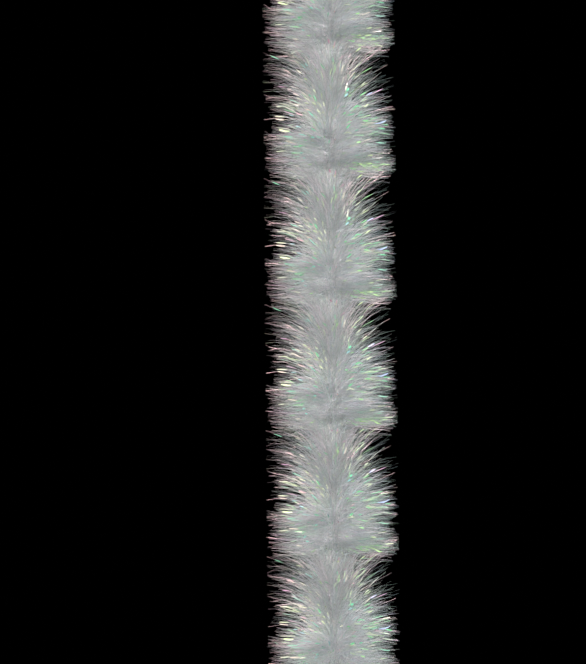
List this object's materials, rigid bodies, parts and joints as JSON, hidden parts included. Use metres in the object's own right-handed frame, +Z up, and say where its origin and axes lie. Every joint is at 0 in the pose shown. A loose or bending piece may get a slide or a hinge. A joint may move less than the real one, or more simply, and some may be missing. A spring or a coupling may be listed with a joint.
{
  "type": "tinsel boa",
  "caption": "Iridescent tinsel boa: bushy tufts of narrow film strips on a twisted core cord, hung over the neck with a straight tail down each side.",
  "frame": {"origin": "inner side of the bend's middle tuft, where the wearer's neck carries the boa", "axes": "+Z up, +X from the left tail to the right tail, +Y from the wearer's front side to the back as seen in the main view"},
  "size_m": [0.4044, 0.098, 0.8892],
  "materials": {
    "fringe_film": "pearly iridescent slit film",
    "core_yarn": "spun polyester cord",
    "binding_thread": "wound thread"
  },
  "bodies": {
    "neck_drape": {"fringe_tuft_neck_1": "fringe_film", "fringe_tuft_neck_2": "fringe_film", "fringe_tuft_neck_3": "fringe_film", "fringe_tuft_neck_4": "fringe_film", "fringe_tuft_neck_5": "fringe_film", "core_ply_front_neck": "core_yarn", "core_ply_back_neck": "core_yarn"},
    "left_upper": {"fringe_tuft_left_1": "fringe_film", "fringe_tuft_left_2": "fringe_film", "core_ply_front_left_upper": "core_yarn", "core_ply_back_left_upper": "core_yarn"},
    "left_middle": {"fringe_tuft_left_3": "fringe_film", "fringe_tuft_left_4": "fringe_film", "core_ply_front_left_middle": "core_yarn", "core_ply_back_left_middle": "core_yarn"},
    "left_lower": {"fringe_tuft_left_5": "fringe_film", "fringe_tuft_left_6": "fringe_film", "fringe_tuft_left_7": "fringe_film", "core_ply_front_left_lower": "core_yarn", "core_ply_back_left_lower": "core_yarn", "end_binding_left": "binding_thread"},
    "right_upper": {"fringe_tuft_right_1": "fringe_film", "fringe_tuft_right_2": "fringe_film", "core_ply_front_right_upper": "core_yarn", "core_ply_back_right_upper": "core_yarn"},
    "right_middle": {"fringe_tuft_right_3": "fringe_film", "fringe_tuft_right_4": "fringe_film", "core_ply_front_right_middle": "core_yarn", "core_ply_back_right_middle": "core_yarn"},
    "right_lower": {"fringe_tuft_right_5": "fringe_film", "fringe_tuft_right_6": "fringe_film", "fringe_tuft_right_7": "fringe_film", "core_ply_front_right_lower": "core_yarn", "core_ply_back_right_lower": "core_yarn", "end_binding_right": "binding_thread"}
  },
  "joints": [
    {"name": "left_neck_swing", "type": "hinge", "parent": "neck_drape", "child": "left_upper", "pos_m": [-0.15319, 0, -0.10044], "axis": [1, 0, 0], "range_deg": [-45, 45]},
    {"name": "left_chest_bend", "type": "hinge", "parent": "left_upper", "child": "left_middle", "pos_m": [-0.15319, 0, -0.29294], "axis": [1, 0, 0], "range_deg": [-45, 45]},
    {"name": "left_waist_bend", "type": "hinge", "parent": "left_middle", "child": "left_lower", "pos_m": [-0.15319, 0, -0.48544], "axis": [0, 1, 0], "range_deg": [-40, 40]},
    {"name": "right_neck_swing", "type": "hinge", "parent": "neck_drape", "child": "right_upper", "pos_m": [0.15319, 0, -0.10044], "axis": [1, 0, 0], "range_deg": [-45, 45]},
    {"name": "right_chest_bend", "type": "hinge", "parent": "right_upper", "child": "right_middle", "pos_m": [0.15319, 0, -0.29294], "axis": [1, 0, 0], "range_deg": [-45, 45]},
    {"name": "right_waist_bend", "type": "hinge", "parent": "right_middle", "child": "right_lower", "pos_m": [0.15319, 0, -0.48544], "axis": [0, 1, 0], "range_deg": [-40, 40]}
  ]
}
